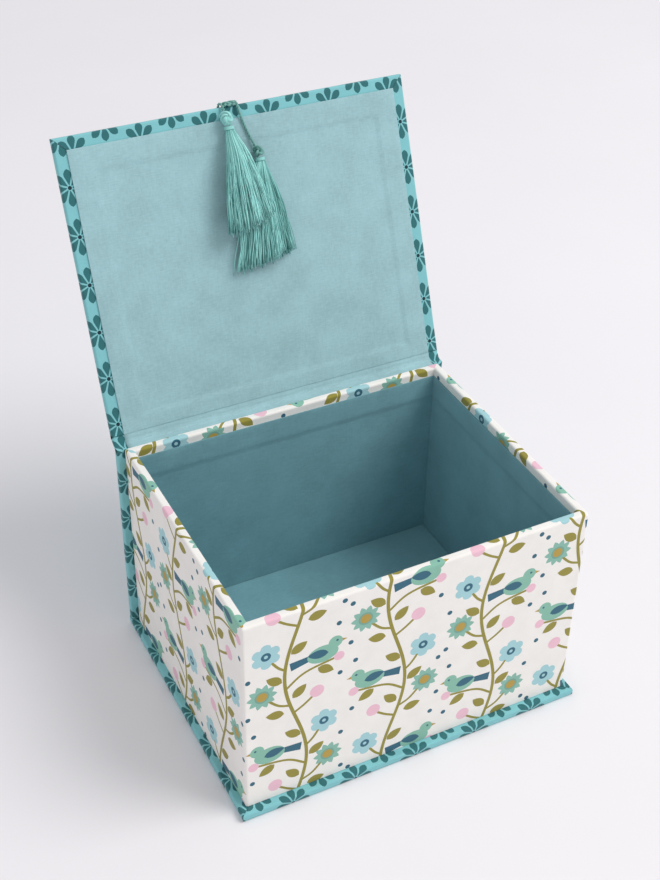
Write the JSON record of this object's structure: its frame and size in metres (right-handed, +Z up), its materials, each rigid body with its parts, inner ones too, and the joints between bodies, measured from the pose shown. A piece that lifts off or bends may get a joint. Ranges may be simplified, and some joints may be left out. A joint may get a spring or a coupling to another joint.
{
  "type": "hinged keepsake box",
  "caption": "Cloth-covered board box with a lined open tray, a hinged lid leaning open on its cloth spine, and silk tassels on the lid's free edge.",
  "frame": {"origin": "centre of the base's underside", "axes": "+Z up, -Y towards the front, where the lid's free edge closes, +X to the right seen from the front"},
  "size_m": [0.1664, 0.189, 0.2343],
  "materials": {
    "greyboard": "raw grey board",
    "case_cloth": "matt printed cotton, turquoise with a dark teal blossom repeat",
    "tray_cloth": "matt printed cotton, off-white with a repeat of stems, flowers and birds",
    "lining_cloth": "plain dusty teal cloth, fine and matt",
    "silk": "silky turquoise thread"
  },
  "bodies": {
    "box": {"base_cloth": "case_cloth", "base_board": "greyboard", "spine_cloth": "case_cloth", "spine_board": "greyboard", "front_wall_board": "greyboard", "back_wall_board": "greyboard", "left_wall_board": "greyboard", "right_wall_board": "greyboard", "floor_board": "greyboard", "tray_cloth": "tray_cloth", "front_wall_lining": "lining_cloth", "back_wall_lining": "lining_cloth", "left_wall_lining": "lining_cloth", "right_wall_lining": "lining_cloth", "floor_lining": "lining_cloth", "floor_card": "greyboard", "inner_hinge_cloth": "lining_cloth", "outer_hinge_cloth": "case_cloth"},
    "lid": {"lid_cloth": "case_cloth", "lid_board": "greyboard", "lid_lining": "lining_cloth", "cord_anchor": "silk", "tassel_1_cord_on_lid": "silk", "tassel_2_cord_on_lid": "silk"},
    "cord_1": {"tassel_1_cord_bend": "silk"},
    "tassel_1": {"tassel_1_head": "silk", "tassel_1_binding": "silk", "tassel_1_skirt": "silk"},
    "cord_2": {"tassel_2_cord_bend": "silk", "tassel_2_free_cord": "silk"},
    "tassel_2": {"tassel_2_head": "silk", "tassel_2_binding": "silk", "tassel_2_skirt": "silk"}
  },
  "joints": [
    {"name": "lid_hinge", "type": "hinge", "parent": "box", "child": "lid", "pos_m": [0, 0.0672, 0.10725], "axis": [1, 0, 0], "range_deg": [0, 111.3], "deforming": ["inner_hinge_cloth", "outer_hinge_cloth"]},
    {"name": "tassel_1_fold", "type": "hinge", "parent": "lid", "child": "cord_1", "pos_m": [-0.0062, 0.11611, 0.23376], "axis": [1, 0, 0], "range_deg": [-90.1, 0], "deforming": ["tassel_1_cord_bend"]},
    {"name": "tassel_1_sway", "type": "hinge", "parent": "cord_1", "child": "tassel_1", "pos_m": [-0.0063, 0.11564, 0.23149], "axis": [0, -0.9317, 0.3633], "range_deg": [-12, 12]},
    {"name": "tassel_2_fold", "type": "hinge", "parent": "lid", "child": "cord_2", "pos_m": [0.0006, 0.11611, 0.23376], "axis": [1, 0, 0], "range_deg": [-90.1, 0], "deforming": ["tassel_2_cord_bend"]},
    {"name": "tassel_2_sway", "type": "hinge", "parent": "cord_2", "child": "tassel_2", "pos_m": [0.0055, 0.10968, 0.21621], "axis": [0, -0.9317, 0.3633], "range_deg": [-12, 12]}
  ],
  "couplings": [
    {"joint": "tassel_1_fold", "follows": "lid_hinge", "ratio": -0.8086},
    {"joint": "tassel_2_fold", "follows": "lid_hinge", "ratio": -0.8086}
  ]
}
